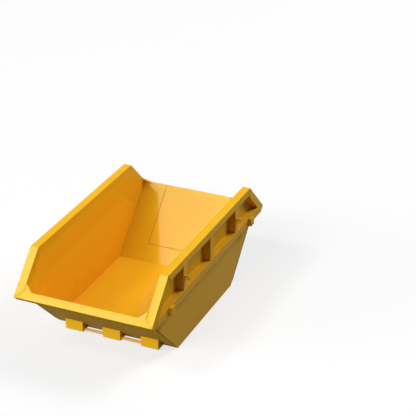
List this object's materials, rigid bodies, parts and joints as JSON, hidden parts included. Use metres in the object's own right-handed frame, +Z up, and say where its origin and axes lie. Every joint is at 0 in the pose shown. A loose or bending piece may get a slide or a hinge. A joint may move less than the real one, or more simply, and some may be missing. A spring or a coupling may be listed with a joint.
{
  "type": "builders skip",
  "caption": "Open steel builders skip with sloping ends, hollow rim rails, lifting studs, a tipping bar and a hinged drop-down end door with swing latches.",
  "frame": {"origin": "centre of the bounding box on the ground, under the middle of the floor", "axes": "+X towards the end with the tipping bar, -X towards the end with the drop-down door, +Y towards the right side, +Z up"},
  "size_m": [3.287, 1.87, 1.2],
  "materials": {
    "yellow_paint": "clean high gloss yellow paint over steel",
    "bar_paint": "glossy orange-yellow paint on the round tipping bar",
    "hinge_steel": "plain turned steel hinge pins"
  },
  "bodies": {
    "skip": {"floor_plate": "yellow_paint", "floor_runner_left": "yellow_paint", "floor_runner_centre": "yellow_paint", "floor_runner_right": "yellow_paint", "side_plate_right": "yellow_paint", "side_plate_left": "yellow_paint", "tipping_end_plate": "yellow_paint", "door_end_plate": "yellow_paint", "top_rail_right": "yellow_paint", "top_rail_left": "yellow_paint", "tipping_slope_rail_right": "yellow_paint", "tipping_slope_rail_left": "yellow_paint", "door_slope_rail_right": "yellow_paint", "door_slope_rail_left": "yellow_paint", "tipping_end_rail": "yellow_paint", "door_end_rail_right": "yellow_paint", "door_end_rail_left": "yellow_paint", "tipping_gusset_right": "yellow_paint", "tipping_gusset_left": "yellow_paint", "door_gusset_right": "yellow_paint", "door_gusset_left": "yellow_paint", "waist_rail_right": "yellow_paint", "waist_rail_left": "yellow_paint", "stiffener_door_right": "yellow_paint", "stiffener_door_left": "yellow_paint", "stiffener_middle_right": "yellow_paint", "stiffener_middle_left": "yellow_paint", "stiffener_tipping_right": "yellow_paint", "stiffener_tipping_left": "yellow_paint", "lifting_stud_door_right": "yellow_paint", "lifting_stud_door_left": "yellow_paint", "lifting_stud_tipping_right": "yellow_paint", "lifting_stud_tipping_left": "yellow_paint", "stacking_block_door_right": "yellow_paint", "stacking_block_door_left": "yellow_paint", "stacking_block_tipping_right": "yellow_paint", "stacking_block_tipping_left": "yellow_paint", "tipping_lug_left": "yellow_paint", "tipping_lug_centre": "yellow_paint", "tipping_lug_right": "yellow_paint", "tipping_bar": "bar_paint", "hinge_bracket_right": "yellow_paint", "hinge_bracket_left": "yellow_paint", "hinge_pin_right": "hinge_steel", "hinge_pin_left": "hinge_steel", "latch_bracket_right": "yellow_paint", "latch_bracket_left": "yellow_paint"},
    "door": {"door_plate": "yellow_paint", "door_rail": "yellow_paint", "door_strip_right": "yellow_paint", "door_strip_left": "yellow_paint", "sill_strip_centre": "yellow_paint", "sill_strip_right": "yellow_paint", "sill_strip_left": "yellow_paint", "hinge_strap_right": "yellow_paint", "hinge_strap_left": "yellow_paint", "latch_keeper_right": "yellow_paint", "latch_keeper_left": "yellow_paint"},
    "latch_right": {"latch_arm_right": "yellow_paint"},
    "latch_left": {"latch_arm_left": "yellow_paint"}
  },
  "joints": [
    {"name": "door_hinge", "type": "hinge", "parent": "skip", "child": "door", "pos_m": [-1.0218, 0, 0.1871], "axis": [0, -1, 0], "range_deg": [0, 54]},
    {"name": "latch_right_pivot", "type": "hinge", "parent": "skip", "child": "latch_right", "pos_m": [-1.40875, 0.535, 0.5882], "axis": [0.7071, 0, 0.7071], "range_deg": [0, 120]},
    {"name": "latch_left_pivot", "type": "hinge", "parent": "skip", "child": "latch_left", "pos_m": [-1.40875, -0.535, 0.5882], "axis": [-0.7071, 0, -0.7071], "range_deg": [0, 120]}
  ]
}
